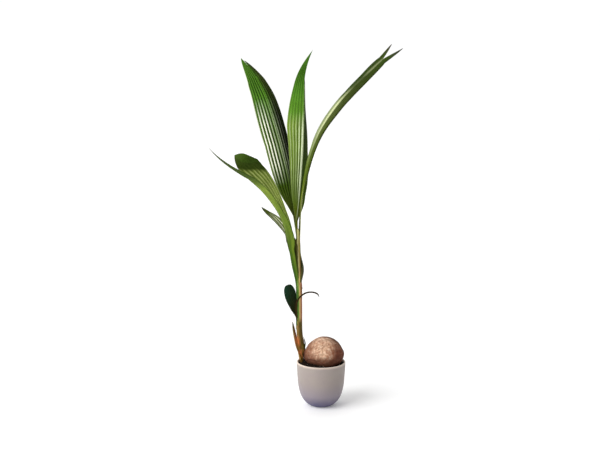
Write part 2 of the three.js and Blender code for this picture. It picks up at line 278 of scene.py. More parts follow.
class Line:
    """A line through close points, measured by its length."""

    def __init__(self, points):
        self.points = points
        spans = np.linalg.norm(np.diff(points, axis=0), axis=1)
        self.marks = np.concatenate([[0], np.cumsum(spans)])
        self.length = self.marks[-1]

    def point(self, distance):
        distance = np.clip(distance, 0, self.length)
        return np.stack([np.interp(distance, self.marks, self.points[:, k]) for k in range(3)], -1)

    def along(self, distance):
        """The line's direction, over a stretch long enough to be smooth."""
        reach = 16.0
        return unit(self.point(distance + reach) - self.point(distance - reach))

    def then(self, bend, tip):
        """This line, carried on by a bend to a tip."""
        t = np.linspace(0, 1, 40)[1:, None]
        lobe = (1 - t) ** 2 * self.points[-1] + 2 * t * (1 - t) * np.array(bend) + t ** 2 * np.array(tip)
        return Line(np.vstack([self.points, lobe]))


# Shared mesh making

def link(made):
    """Puts an object in the scene."""
    bpy.context.scene.collection.objects.link(made)
    return made


class Build:
    """Gathers points, faces and marks for one piece."""

    def __init__(self, *marks):
        self.points, self.faces, self.count = [], [], 0
        self.marks = {name: [] for name in marks}

    def rings(self, points, flip, **marks):
        """Adds rings of points, with quads between each ring and the next, and says where the first and
        the last ring start. A mark is one number, one for each side or one for each point, or 0."""
        rings, sides = points.shape[:2]
        i, j = np.meshgrid(np.arange(rings - 1), np.arange(sides), indexing="ij")
        a = self.count + i * sides + j
        b = self.count + i * sides + (j + 1) % sides
        quads = np.stack([a, b, b + sides, a + sides], -1).reshape(-1, 4)
        self.faces += (quads[:, ::-1] if flip else quads).tolist()
        self.points.append(points.reshape(-1, 3))
        for name, values in self.marks.items():
            values.append(np.resize(marks.get(name, 0.0), rings * sides))
        first = self.count
        self.count += rings * sides
        return first, self.count - sides

    def skin(self, points, flip=False, **marks):
        """A closed skin over rings of points, with one face over each end."""
        sides = points.shape[1]
        for start, turned in zip(self.rings(points, flip, **marks), (not flip, flip)):
            face = list(range(start, start + sides))
            self.faces.append(face[::-1] if turned else face)

    def shell(self, front, back, flip=False, **marks):
        """A thin closed shell between a front and a back layer, each with rows of points. Its mark under
        is 0 on the front and 1 on the back."""
        rows, columns = front.shape[:2]
        marks = {name: np.broadcast_to(value, (rows, columns)) for name, value in marks.items()}
        marks = {name: np.concatenate([value, value[:, ::-1]], 1) for name, value in marks.items()}
        marks["under"] = np.repeat([0.0, 1.0], columns)
        ends = self.rings(np.concatenate([front, back[:, ::-1]], 1), flip, **marks)
        for start, turned in zip(ends, (not flip, flip)):
            for k in range(columns - 1):
                behind = start + 2 * columns - 1 - k
                quad = [start + k, start + k + 1, behind - 1, behind]
                self.faces.append(quad[::-1] if turned else quad)

    def tube(self, centres, radii, sides, squash=1.0, facing=BACK, **marks):
        """A closed tube through centres. facing is the way its flattened side looks, and a mark is one
        number or one for each centre."""
        n = len(centres)
        along = unit(np.gradient(centres, axis=0))
        facing = np.broadcast_to(facing, (n, 3))
        out = unit(facing - along * np.sum(along * facing, -1, keepdims=True))
        across = np.cross(along, out)
        angle = turns(sides)[:, None]
        ring = across[:, None] * np.cos(angle) + out[:, None] * squash * np.sin(angle)
        radii = np.broadcast_to(radii, n)[:, None, None]
        marks = {name: np.repeat(np.broadcast_to(value, n), sides) for name, value in marks.items()}
        self.skin(centres[:, None] + ring * radii, **marks)

    def piece(self, node, material):
        """Makes the mesh, in metres, as the piece that stands for a node."""
        mesh = bpy.data.meshes.new(node + "_piece")
        mesh.from_pydata((np.vstack(self.points) * MM).tolist(), [], self.faces)
        for mark, values in self.marks.items():
            attribute = mesh.attributes.new(mark, "FLOAT", "POINT")
            attribute.data.foreach_set("value", np.concatenate(values).astype(np.float32))
        mesh.shade_smooth()
        mesh.materials.append(material)
        made = link(bpy.data.objects.new(node + "_piece", mesh))
        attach(made, "root")
        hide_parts(node)


# Shared material making

def light(shade):
    """The light of a colour as a screen shows it, or of a plain number. A link stays as it is."""
    if isinstance(shade, bpy.types.NodeSocket):
        return shade
    if isinstance(shade, (int, float)):
        return (shade, shade, shade, 1.0)
    parts = [value / 255 for value in shade]
    return (*(part / 12.92 if part <= 0.04045 else ((part + 0.055) / 1.055) ** 2.4 for part in parts), 1.0)


class Nodes:
    """Adds nodes to a tree."""

    def __init__(self, tree):
        self.tree = tree

    def node(self, kind, *values, **settings):
        """Adds a node. values go to its inputs in order, as numbers or as links."""
        made = self.tree.nodes.new("ShaderNode" + kind)
        for name, value in settings.items():
            setattr(made, name, value)
        for socket, value in zip(made.inputs, values):
            self.feed(socket, value)
        return made

    def feed(self, socket, value):
        if isinstance(value, bpy.types.NodeSocket):
            self.tree.links.new(value, socket)
        elif value is not None:
            socket.default_value = value

    def math(self, operation, *values, clamp=False):
        return self.node("Math", *values, operation=operation, use_clamp=clamp).outputs[0]

    def times(self, first, *others):
        for other in others:
            first = self.math("MULTIPLY", first, other)
        return first


class Shader(Nodes):
    """A Principled material that is built up node by node."""

    def __init__(self, name, specular=0.5):
        self.material = bpy.data.materials.new(name)
        self.material.use_nodes = True
        super().__init__(self.material.node_tree)
        self.surface = self.tree.nodes["Principled BSDF"]
        self.surface.inputs["Specular IOR Level"].default_value = specular

    def mark(self, name):
        return self.node("Attribute", attribute_name=name).outputs["Fac"]

    def place(self):
        return self.node("TexCoord").outputs["Object"]

    def blend(self, share, a, b):
        """a where share is 0 and b where it is 1."""
        not_colours = [None] * 5
        return self.node("Mix", share, *not_colours, light(a), light(b), data_type="RGBA").outputs[2]

    def ramp(self, value, *stops):
        """A colour or number for each value. Each stop is a place from 0 to 1 with what holds there, and
        one number alone holds for every value."""
        if len(stops) == 1:
            stops = ((0, stops[0]), (1, stops[0]))
        made = self.node("ValToRGB", value)
        elements = made.color_ramp.elements
        while len(elements) < len(stops):
            elements.new(1.0)
        for element, (at, shade) in zip(elements, stops):
            element.position = at
            element.color = light(shade)
        return made.outputs["Color"]

    def paint(self, base, *coats):
        """Lays coats over a colour in turn. Each coat is a colour, the value that it follows, and the
        stops of its strength, or none where the value is its strength."""
        for shade, value, *stops in coats:
            base = self.blend(self.ramp(value, *stops) if stops else value, base, shade)
        return base

    def noise(self, place, scale, detail, roughness=0.55, stretch=None):
        if stretch:
            place = self.node("Mapping", place, None, None, stretch).outputs[0]
        return self.node("TexNoise", place, None, scale, detail, roughness).outputs["Fac"]

    def bump(self, height, depth_mm, strength, after=None):
        return self.node("Bump", strength, depth_mm * MM, None, height, after).outputs["Normal"]

    def finish(self, base, roughness, normal=None):
        for name, value in (("Base Color", base), ("Roughness", roughness), ("Normal", normal)):
            self.feed(self.surface.inputs[name], value)
        return self.material


# Pot

def pot_radius(z):
    """The pot's outer radius at each height."""
    share = np.asarray(z, float) / POT["height"]
    straight = lerp(POT["belly"], POT["rim"], share)
    bulge = (1 - (1 - share) ** POT_CURVE["upright"]) ** POT_CURVE["flare"]
    return POT["foot"] + (straight - POT["foot"]) * bulge


def pot_wall(inset, low, count):
    """The wall's curve, moved inward by an inset, from a height up to the lip."""
    z = POT["height"] * np.linspace(0, 1, 4 * count) ** 1.8
    z = z[z <= POT["height"] - POT["lip"]]
    curve = np.stack([pot_radius(z), z], -1)
    along = unit(np.gradient(curve, axis=0))
    moved = curve + np.stack([-along[:, 1], along[:, 0]], -1) * inset
    moved = moved[moved[:, 1] >= low]
    marks = np.linspace(0, 1, len(moved))
    even = np.linspace(0, 1, count)
    return np.stack([np.interp(even, marks, moved[:, k]) for k in range(2)], -1)


def level_run(start, end, height, count):
    """A level stretch of a profile."""
    return np.stack([np.linspace(start, end, count), np.full(count, height)], -1)


def revolve(build, profile, sides, shift):
    """Turns a profile of radii and heights about the middle, from the bottom outward and back in, and
    moves each point by what shift gives for it."""
    angle = turns(sides)
    radius, z = profile[:, :1], profile[:, 1:]
    points = np.stack([radius * np.cos(angle), radius * np.sin(angle), z + 0 * angle], -1)
    build.skin(points + shift(points))


def make_pot():
    height, lip = POT["height"], POT["lip"]
    corner = 4
    outside = pot_wall(0, 0, 90)
    outside[0, 1] = 0.5
    inside = pot_wall(POT["wall"], POT["floor"] + corner, 70)[::-1]
    turn = np.radians(np.arange(15, 180, 15))
    rounded = np.stack([POT["rim"] - lip + lip * np.cos(turn), height - lip + lip * np.sin(turn)], -1)
    under = level_run(1.5, POT["foot"] - 1.2, 0, 12)
    turn = np.radians(np.linspace(0, 90, 7)[1:])
    radius, low = inside[-1]
    bend = np.stack([radius - corner + corner * np.cos(turn), low - corner * np.sin(turn)], -1)
    floor = level_run(bend[-1, 0] - 2, 1.5, bend[-1, 1], 12)
    build = Build()

    def wobble(points):
        amount = 0.18 * lattice_noise(points, 46, 3)[..., None]
        return amount * unit(points * (1, 1, 0))

    revolve(build, np.vstack([under, outside, rounded, inside, bend, floor]), 168, wobble)
    build.piece("pot", pot_material())


def pot_material():
    shader = Shader("pot_glaze")
    place = shader.place()
    height = shader.node("SeparateXYZ", place).outputs["Z"]
    height = shader.math("DIVIDE", height, POT["height"] * MM, clamp=True)
    cloud = shader.noise(place, 26, 4)
    speck = shader.noise(place, 520, 2)
    # Darker and bluer toward the foot, to a deep blue-violet at the bottom: painted shade with a violet
    # cast. The pale band at the lip is a painted highlight.
    body = shader.paint(
        shader.ramp(
            height, (0, (32, 35, 84)), (0.05, (50, 49, 94)), (0.14, (92, 87, 113)),
            (0.3, (134, 125, 134)), (0.6, (150, 139, 133)), (0.95, (157, 146, 138)),
            (0.985, (202, 184, 172)), (1, (240, 224, 206)),
        ),
        ((140, 127, 132), cloud, (0.35, 0), (0.65, 0.22)),
        ((120, 112, 108), speck, (0.6, 0), (0.72, 0.18)),
    )
    normal = shader.bump(speck, 0.12, 0.5, shader.bump(cloud, 0.5, 0.35))
    return shader.finish(body, shader.ramp(cloud, (0.3, 0.44), (0.7, 0.56)), normal)


# Soil

def lump(build, at, size, seed, **marks):
    """One crumb, as a small uneven ball."""
    rows, sides = 7, 9
    polar = np.linspace(0.12, math.pi - 0.12, rows)[:, None]
    around = turns(sides)
    ball = np.stack([np.sin(polar) * np.cos(around), np.sin(polar) * np.sin(around),
                     np.cos(polar) + 0 * around], -1)
    ball = ball * (1 + 0.35 * lattice_noise(ball * 1.3 + seed * 3.1, 1.0, 8))[..., None]
    build.skin(ball * size + at, flip=True, **marks)


def soil_height(points):
    """The soil's uneven top at each place."""
    share = np.hypot(points[..., 0], points[..., 1]) / pot_radius(SOIL["top"])
    flat = points * (1, 1, 0)
    rough = 1.5 * layered_noise(flat, 16, 21) + 1.1 * layered_noise(flat, 5, 22)
    return SOIL["top"] + SOIL["mound"] * (1 - share ** 2) + rough


def make_soil():
    side = pot_wall(POT["wall"] + GAP, POT["floor"] + 6, 50)
    side = side[side[:, 1] < SOIL["top"] - 4]
    below = level_run(1.5, side[0, 0] - 4, POT["floor"] + 0.8, 8)
    edge = side[-1, 0]
    rise = np.stack([np.full(4, edge), np.linspace(side[-1, 1] + 1, SOIL["top"] - 1, 4)], -1)
    top = level_run(edge - 0.6, 1.5, SOIL["top"], 90)
    build = Build("tone", "pale")

    def heap(points):
        moved = np.zeros_like(points)
        moved[-len(top):, :, 2] = soil_height(points[-len(top):]) - SOIL["top"]
        return moved

    revolve(build, np.vstack([below, side, rise, top]), 220, heap)
    dice = np.random.default_rng(5)
    for number in range(620):
        turn = dice.uniform(0, 2 * math.pi)
        reach = (edge - 4) * math.sqrt(dice.uniform(0.12, 1))
        at = np.array([reach * math.cos(turn), reach * math.sin(turn), 0.0])
        pale = float(number % 14 == 0)
        size = dice.uniform(0.7, 1.5) if pale else dice.uniform(0.8, 3.4)
        at[2] = soil_height(at) + 0.35 * size
        squash = dice.uniform(0.6, 1.0, 3)
        lump(build, at, size * squash, number, tone=dice.uniform(0, 1), pale=pale)
    build.piece("soil", soil_material())


def soil_material():
    shader = Shader("potting_mix", 0.2)
    place = shader.place()
    grain = shader.noise(place, 420, 5, 0.7)
    earth = shader.paint(
        shader.ramp(grain, (0.3, (12, 8, 6)), (0.55, (30, 19, 14)), (0.75, (64, 42, 30))),
        ((30, 18, 13), shader.noise(place, 60, 3), (0.4, 0), (0.7, 0.5)),
        ((66, 44, 30), shader.mark("tone"), (0, 0), (1, 0.35)),
        ((196, 186, 170), shader.mark("pale")),
    )
    return shader.finish(earth, 0.95, shader.bump(grain, 1.2, 0.8))


# Coconut

def nut_surface(polar, around):
    """Points on the nut's outside, from its middle. polar runs from the shoot's end to the far end."""
    y = -np.cos(polar)
    ridges = 1 + NUT["ridge"] * np.cos(3 * around) * (1 - y ** 2)
    slim = (1 + NUT["slimmer"] * y) * np.maximum(1 - y ** 2, 1e-6) ** NUT["pointed"]
    wide = np.sin(polar) * np.sin(around) * NUT["half_depth"] * ridges * slim
    tall = np.sin(polar) * np.cos(around) * NUT["half_height"] * ridges * slim
    tilt = math.radians(NUT["tilt_deg"])
    long = y * NUT["half_length"]
    x = long * math.cos(tilt) - tall * math.sin(tilt)
    z = long * math.sin(tilt) + tall * math.cos(tilt)
    return np.stack([x, wide, z], -1)


def husk(polar, around):
    """The nut with its husk's facet, lumps and fibres, and marks of the fibres, creases and facet."""
    base = nut_surface(polar, around)
    out = unit(base / (NUT["half_length"], NUT["half_depth"], NUT["half_height"]))
    strands = fibre_noise(around, 9, np.cos(polar) * 2.2, 1.5, 31)
    hairs = fibre_noise(around + 0.5 * np.cos(polar), 26, np.cos(polar) * 4.5, 1.2, 33)
    lumps = layered_noise(base, 34, 35, 2)
    creases = smooth(np.abs(layered_noise(base * (1, 1, 0.7), 11, 37)), 0.13, 0.0)
    lift = 1.5 * lumps + 0.8 * strands + 0.5 * hairs - 0.8 * creases - 0.3
    body = base + out * lift[..., None]
    facing = unit(np.array(FACET["toward"]))
    beyond = body @ facing - FACET["reach"]
    body = body - facing * (0.85 * np.maximum(beyond, 0))[..., None]
    return body, strands + 0.6 * hairs, creases, smooth(beyond, -0.5, 2.5)


def make_coconut():
    rows, sides = 190, 300
    share = np.linspace(0.004, 0.996, rows)
    polar = math.pi * (share - 0.12 * np.sin(2 * math.pi * share) / math.pi)
    polar, around = np.meshgrid(polar, turns(sides), indexing="ij")
    body, strands, creases, facet = husk(polar, around)
    build = Build("strand", "crease", "facet", "end")
    build.skin(body + NUT["centre"], flip=True, strand=strands, crease=creases, facet=facet,
               end=polar / math.pi)
    loose_fibres(build)
    build.piece("coconut", husk_material())


def loose_fibres(build):
    """Fibres that lie on the husk and lift a little off it."""
    dice = np.random.default_rng(11)
    along = np.linspace(0, 1, 9)
    for _ in range(230):
        start, turn = dice.uniform(0.08, 0.8), dice.uniform(0, 2 * math.pi)
        polar = math.pi * (start + dice.uniform(0.05, 0.2) * along)
        around = turn + dice.uniform(-0.25, 0.25) * along + 0.03 * np.sin(9 * along + turn)
        body = husk(polar, around)[0]
        lift = 0.25 + dice.uniform(0.1, 1.6) * np.sin(math.pi * along) * along
        thick = dice.uniform(0.14, 0.32) * (1 - 0.7 * np.abs(2 * along - 1))
        build.tube(body + NUT["centre"] + unit(body) * lift[:, None], thick, 4,
                   strand=dice.uniform(0.3, 1.0), end=polar / math.pi)


def husk_material():
    shader = Shader("husk", 0.2)
    place = shader.place()
    half_sizes = (NUT["half_length"], NUT["half_depth"], NUT["half_height"])
    along, depth, height = (
        shader.math("DIVIDE", shader.math("SUBTRACT", part, (middle - half) * MM), 2 * half * MM, clamp=True)
        for part, middle, half in zip(shader.node("SeparateXYZ", place).outputs, NUT["centre"], half_sizes))
    streaks = shader.noise(place, 190, 4, 0.65, (1, 1, 0.3))
    blotch = shader.noise(place, 46, 3, 0.6)
    patch = shader.noise(place, 120, 3, 0.6, (1, 1, 0.6))
    # Distance from the middle of the painted highlight on the husk's front, as a share of its reach
    highlight_centre = np.multiply(HUSK_HIGHLIGHT["at"], MM)
    highlight_distance = shader.node("VectorMath", place, highlight_centre, operation="DISTANCE").outputs["Value"]
    highlight_distance = shader.math("DIVIDE", highlight_distance, HUSK_HIGHLIGHT["reach"] * MM, clamp=True)
    # The far end darker and redder: partly the husk's own reddish brown and partly painted shade, less at
    # its lit top
    far_end_tone_and_shade = shader.times(shader.ramp(along, (0.6, 0), (0.8, 0.92)),
                           shader.ramp(height, (0.66, 1), (0.98, 0.2)))
    # Painted shade over the nut's lower half, with a wavy upper edge
    underside_shade = shader.math("MULTIPLY_ADD", along, -0.03, shader.math("MULTIPLY_ADD", blotch, 0.16, height))
    seam = shader.times(shader.ramp(depth, (0.36, 0), (0.46, 0.9), (0.56, 0.9), (0.66, 0)),
                        shader.ramp(along, (0.35, 0.25), (0.6, 1)))
    facet = shader.mark("facet")
    # The facet's colours by height, darker toward its bottom: painted shade on the nut's underside
    facet_shade = shader.ramp(height, (0.2, (112, 66, 46)), (0.36, (156, 104, 82)), (0.44, (150, 96, 76)))
    strand = shader.math("MULTIPLY_ADD", shader.mark("strand"), 0.5, 0.5, clamp=True)
    tan = shader.paint(
        shader.ramp(blotch, (0.3, (160, 110, 82)), (0.5, (198, 150, 118)), (0.7, (218, 178, 148))),
        # Painted highlight on the husk's front, palest in its middle
        ((236, 204, 174), highlight_distance, (0.2, 0.5), (0.8, 0)),
        # Painted highlight on the nut's top
        ((240, 208, 182), height, (0.84, 0), (1, 0.5)),
        ((238, 210, 184), patch, (0.5, 0), (0.64, 0.6)),
        ((150, 96, 70), patch, (0.36, 0.6), (0.46, 0)),
        # Far end: own reddish brown and painted shade
        ((106, 52, 32), far_end_tone_and_shade),
        ((108, 62, 42), along, (0.04, 0.9), (0.34, 0)),
        # Painted shade on the lower half
        ((88, 48, 32), underside_shade, (0.36, 0.95), (0.5, 0.85), (0.64, 0)),
        # The facet: painted shade, darker toward its bottom and in a band round its edge
        (facet_shade, shader.times(facet, 0.85)),
        ((70, 36, 26), facet, (0.02, 0), (0.3, 0.9), (0.7, 0.9), (0.98, 0)),
        ((84, 48, 32), seam),
        ((104, 66, 44), strand, (0.1, 0.5), (0.42, 0)),
        ((134, 82, 58), streaks, (0.55, 0), (0.7, 0.55)),
        ((96, 56, 40), shader.times(shader.mark("crease"), 0.4)),
        ((52, 32, 20), shader.mark("end"), (0.02, 0.95), (0.09, 0.5), (0.16, 0)),
    )
    return shader.finish(tan, 0.75, shader.bump(patch, 1.0, 0.4, shader.bump(streaks, 1.4, 0.6)))


# Stem

def stem_skin(z, angle, lift):
    """Points outside the stem, at heights and angles about it."""
    middle = smooth_curve([point for point, _ in STEM])
    x, y = (np.interp(z, middle[:, 2], middle[:, k]) for k in range(2))
    radius = np.interp(z, [point[2] for point, _ in STEM], [radius for _, radius in STEM]) + lift
    return np.stack([x + np.cos(angle) * radius, y + np.sin(angle) * radius, z], -1)


# Leaf bases that wrap the stem: the way they face, in degrees about it, the heights they run between,
# half of the angle they wrap at the foot and at the top, how far they stand off in the middle and at
# the top, and how dry they are. The first is the bud on the right.
WRAPS = (
    (8, 488, 612, 80, 26, 10.5, 0.6, 0.1),
    (150, 420, 560, 178, 40, 0.4, 1.0, 0.1),
    (220, 205, 318, 178, 60, 0.3, 1.0, 0.1),
    (205, 166, 214, 178, 60, 0.4, 1.2, 0.9),
    (330, 196, 262, 120, 40, 0.4, 1.6, 0.3),
    (185, 505, 668, 80, 72, 8.5, 13.0, 0.6),
    (345, 198, 252, 64, 46, 4.8, 0.5, 0.9),
    (140, 540, 704, 178, 60, 0.4, 0.6, 0.1),
    (5, 575, 716, 120, 50, 0.5, 0.5, 0.1),
    (258, 600, 700, 110, 46, 0.5, 0.3, 0.1),
)
# Tufts of frayed fibres: the way they face, their height, and how many fibres there are
TUFTS = ((232, 205, 16), (240, 340, 9), (178, 215, 12), (200, 262, 8), (205, 470, 10), (20, 232, 8))


def make_stem():
    rows, sides = 300, 64
    z = np.linspace(STEM[0][0][2], STEM[-1][0][2], rows)
    z, angle = np.meshgrid(z, turns(sides), indexing="ij")
    lift = 0.28 * fibre_noise(angle, 6, z / 60, 1.0, 41) - 0.2
    build = Build("side", "height", "margin", "dry", "bud", "fibre")
    build.skin(stem_skin(z, angle, lift), side=np.cos(angle), height=z / HEIGHT_UNIT)
    for number, wrap in enumerate(WRAPS):
        add_wrap(build, number, *wrap)
    stem_fibres(build)
    build.piece("stem", stem_material())


def add_wrap(build, number, facing, low, high, wide, narrow, bulge, stand, dry):
    """A leaf base: a thin closed shell round part of the stem, narrower toward its top."""
    rows, columns = 86, 44
    share = np.linspace(0, 1, rows)[:, None]
    across = np.linspace(-1, 1, columns)[None, :]
    ragged = 5 * noise_along(14 * share, 50 + number) * smooth(share, 0, 0.3)
    half = np.radians(lerp(wide, narrow, smooth(share, 0.15, 0.95)) + ragged)
    angle = math.radians(facing) + half * across
    z = lerp(low, high, share) - 14 * smooth(share, 0.5, 1) * across ** 2
    lip = smooth(np.abs(across), 0.7, 1.0)
    off = stand * smooth(share, 0.45, 1.0) + 0.4 * lip * smooth(share, 0.1, 0.3) + 0.3
    off = off + bulge * np.sin(math.pi * share ** 0.8) ** 2 * (1 - 0.3 * np.abs(across))
    off = off + 0.16 * fibre_noise(angle, 7, z / 60, 1.0, 60 + number)
    margin = np.maximum(lip * smooth(share, 0.05, 0.2), smooth(share, 0.94, 1.0))
    build.shell(stem_skin(z, angle, off), stem_skin(z, angle, off - 0.8 * (1 - 0.6 * lip)),
                side=np.cos(angle), height=z / HEIGHT_UNIT, margin=margin, dry=dry, bud=bulge / 10)


def stem_fibres(build):
    """Frayed brown fibres at the margins of the old leaf bases."""
    dice = np.random.default_rng(17)
    along = np.linspace(0, 1, 8)
    for facing, height, count in TUFTS:
        for _ in range(count):
            angle = math.radians(facing + dice.uniform(-38, 38)) + dice.uniform(-0.5, 0.5) * along
            z = height + dice.uniform(-14, 14) + dice.uniform(-6, 20) * along
            lift = 0.4 + dice.uniform(0.3, 2.6) * along ** 2
            thick = dice.uniform(0.18, 0.4) * (1 - 0.75 * along)
            build.tube(stem_skin(z, angle, lift), thick, 4, side=math.cos(angle[0]),
                       height=z / HEIGHT_UNIT, dry=1.0, fibre=1.0)


def stem_material():
    shader = Shader("stem_skin", 0.12)
    place = shader.place()
    height = shader.mark("height")
    streaks = shader.noise(place, 300, 4, 0.6, (1, 1, 0.06))
    blotch = shader.noise(place, 60, 3, 0.6, (1, 1, 0.4))
    sway = shader.math("MULTIPLY_ADD", blotch, 0.24, -0.12)
    turn = shader.math("MULTIPLY_ADD", shader.math("ADD", shader.mark("side"), sway), 0.5, 0.5, clamp=True)
    lower = shader.ramp(
        turn, (0, (138, 112, 62)), (0.22, (146, 114, 62)), (0.4, (98, 82, 30)), (0.56, (80, 68, 20)),
        (0.82, (82, 68, 22)), (1, (108, 82, 52)),
    )
    middle = shader.ramp(
        turn, (0, (50, 92, 28)), (0.24, (76, 128, 40)), (0.4, (104, 134, 46)), (0.48, (200, 184, 108)),
        (0.58, (214, 190, 122)), (0.7, (198, 146, 100)), (0.86, (170, 112, 80)), (1, (112, 68, 44)),
    )
    # A painted highlight, pale yellow down the stem's left front, with painted shade toward both sides.
    top = shader.ramp(
        turn, (0, (84, 84, 26)), (0.12, (150, 150, 66)), (0.22, (255, 252, 170)), (0.5, (255, 250, 172)),
        (0.68, (176, 168, 80)), (1, (100, 102, 36)),
    )
    bud = shader.ramp(
        turn, (0.1, (40, 46, 4)), (0.4, (76, 82, 16)), (0.6, (110, 116, 30)), (0.8, (42, 58, 10)),
        (1, (28, 44, 8)),
    )
    rust = shader.times(shader.ramp(height, (0.3, 0), (0.335, 1), (0.375, 1), (0.4, 0)),
                        shader.ramp(turn, (0.3, 1), (0.6, 0)),
                        shader.ramp(blotch, (0.4, 0.4), (0.6, 1)))
    ring = shader.times(shader.ramp(height, (0.285, 0), (0.297, 1), (0.312, 1), (0.322, 0)),
                        shader.ramp(blotch, (0.35, 0.8), (0.6, 1)))
    spot = shader.times(shader.ramp(height, (0.315, 0), (0.33, 1), (0.35, 0)),
                        shader.ramp(turn, (0.55, 0), (0.75, 1)))
    dry = shader.times(shader.mark("dry"), shader.ramp(blotch, (0.35, 0.5), (0.65, 1)), 0.75)
    skin = shader.paint(
        lower,
        (middle, height, (0.468, 0), (0.5, 1)),
        # The upper stem, with its painted highlight.
        (top, height, (0.74, 0), (0.84, 1)),
        ((244, 140, 80), rust),
        ((250, 156, 96), ring),
        ((170, 146, 58), spot),
        ((204, 150, 80), height, (0.255, 1), (0.288, 0)),
        ((54, 30, 16), height, (0.25, 0.92), (0.268, 0)),
        ((128, 96, 44), dry),
        ((120, 80, 40), shader.times(shader.mark("margin"), 0.7)),
        (bud, shader.mark("bud"), (0.2, 0), (0.8, 0.9)),
        ((84, 72, 26), streaks, (0.5, 0), (0.72, 0.22)),
        ((222, 206, 140), streaks, (0.28, 0.25), (0.42, 0)),
        ((156, 94, 52), shader.mark("fibre")),
    )
    rough = shader.ramp(blotch, (0.3, 0.42), (0.7, 0.6))
    return shader.finish(skin, rough, shader.bump(streaks, 0.7, 0.6))


# Leaves

def side_vectors(spec, line, share, sign):
    """The direction out from the rib, and the one that the blade faces, at each share of a line."""
    along = line.along(share * line.length)
    start, end = (unit(np.array(v, float)) for v in spec["face"])
    face = lerp(start, end, smooth(share, 0, 1)[:, None])
    face = unit(face - along * np.sum(face * along, -1, keepdims=True))
    return sign * np.cross(along, face), face


def blade_width(spec, half, share, blade_start):
    """Half of the blade's width at each share of its line."""
    wide, start, end = spec["blade"]
    end = half.get("end", end)
    v = np.clip((share - blade_start) / (1 - blade_start), 0, 1)
    peak = (start / (start + end)) ** start * (end / (start + end)) ** end
    channel = spec["stalk"][1] * (1 - smooth(v, 0, 0.4))
    channel = channel * lerp(spec.get("foot", 1), 1, smooth(share, 0.35 * blade_start, blade_start))
    blade = wide * steps(half.get("width", (1,)), share) * v ** start * (1 - v) ** end / peak
    return np.maximum(TIP_HALF_WIDTH, channel + blade)


def half_blade(build, spec, half, rib, sign, seed):
    """One half of a leaf's blade: a thin closed shell in pleats that run from the foot to the tip."""
    line = rib.then(half["bend"], half["tip"]) if "bend" in half else rib
    share = 1 - (1 - np.linspace(0, 1, int(line.length / STATION) + 12)) ** 1.35
    folds, fold_depth, wave = spec["folds"]
    radius, _, stalk_share = spec["stalk"]
    blade_start = stalk_share * rib.length / line.length
    across, face = side_vectors(spec, line, share, sign)
    middle = line.point(share * line.length)
    width = blade_width(spec, half, share, blade_start)[:, None]
    fold, curl = (np.radians(steps(half[key], share))[:, None] for key in ("fold", "curl"))
    share = share[:, None]
    c = np.linspace(0, 1, folds * COLUMNS_PER_FOLD + 1)[None, :]
    angle = fold + curl * c
    run = (np.sin(angle) - np.sin(fold)) / curl * width
    rise = (np.cos(fold) - np.cos(angle)) / curl * width
    phase = folds * c + 0.5 * smooth(share, 0.3, 1) * c
    ridge = np.arcsin(PLEAT_SHARPNESS * np.sin(2 * math.pi * phase)) / math.asin(PLEAT_SHARPNESS)
    fade = smooth(share, blade_start * 0.6, blade_start + 0.22) * smooth(share, 1.0, 0.86)
    depth = np.minimum(fold_depth, 0.26 * width / folds) * fade * smooth(c, 0, 0.06)
    out = depth * ridge + wave * noise_along(7 * share, seed) * c ** 2 * fade
    thick = lerp(1.6 * radius, BLADE_THICKNESS, smooth(share, 0, blade_start + 0.1))
    thick = np.minimum(thick, 1.6 * width) * lerp(1, EDGE_THICKNESS / BLADE_THICKNESS, smooth(c, 0.5, 1))

    def layer(offset):
        shift = out + offset
        sideways = (run - np.sin(angle) * shift)[..., None] * across[:, None]
        return middle[:, None] + sideways + (rise + np.cos(angle) * shift)[..., None] * face[:, None]

    build.shell(layer(thick / 2), layer(-thick / 2), flip=sign < 0, along=share, across=c,
                half=(sign + 1) / 2, ridge=0.5 + 0.5 * ridge * fade)


def midrib(build, spec, rib):
    """The rib, thick at the stalk and thin by the fork, mostly on the blade's back."""
    radius, _, stalk_share = spec["stalk"]
    share = np.linspace(0, 1, int(rib.length / STATION))
    _, face = side_vectors(spec, rib, share, 1)
    thick = lerp(radius, 0.22 * radius + 0.25, smooth(share, 0.3 * stalk_share, 0.9) ** 0.6)
    centre = rib.point(share * rib.length) - face * (0.35 * thick)[:, None]
    build.tube(centre, thick, 12, squash=0.9, facing=face, along=share, rib=1.0)


def curled_strand(build):
    strand = Line(smooth_curve(STRAND))
    share = np.linspace(0, 1, 90)
    thick = lerp(*STRAND_RADIUS, share ** 0.7) * (1 - 0.8 * smooth(share, 0.9, 1))
    build.tube(strand.point(share * strand.length), thick, 12, squash=0.75, along=0.35 * share,
               half=1.0, across=0.5, ridge=0.5)


def make_leaf(number, name):
    spec = LEAVES[name]
    rib = Line(smooth_curve(spec["rib"]))
    build = Build("along", "across", "half", "ridge", "under", "rib")
    for half, sign, seed in zip(halves(spec), (-1, 1), (70, 90)):
        half_blade(build, spec, half, rib, sign, seed + number)
    midrib(build, spec, rib)
    if name == "leaf_lowest":
        curled_strand(build)
    build.piece(name, leaf_material(name, LEAF_LOOKS[name]))
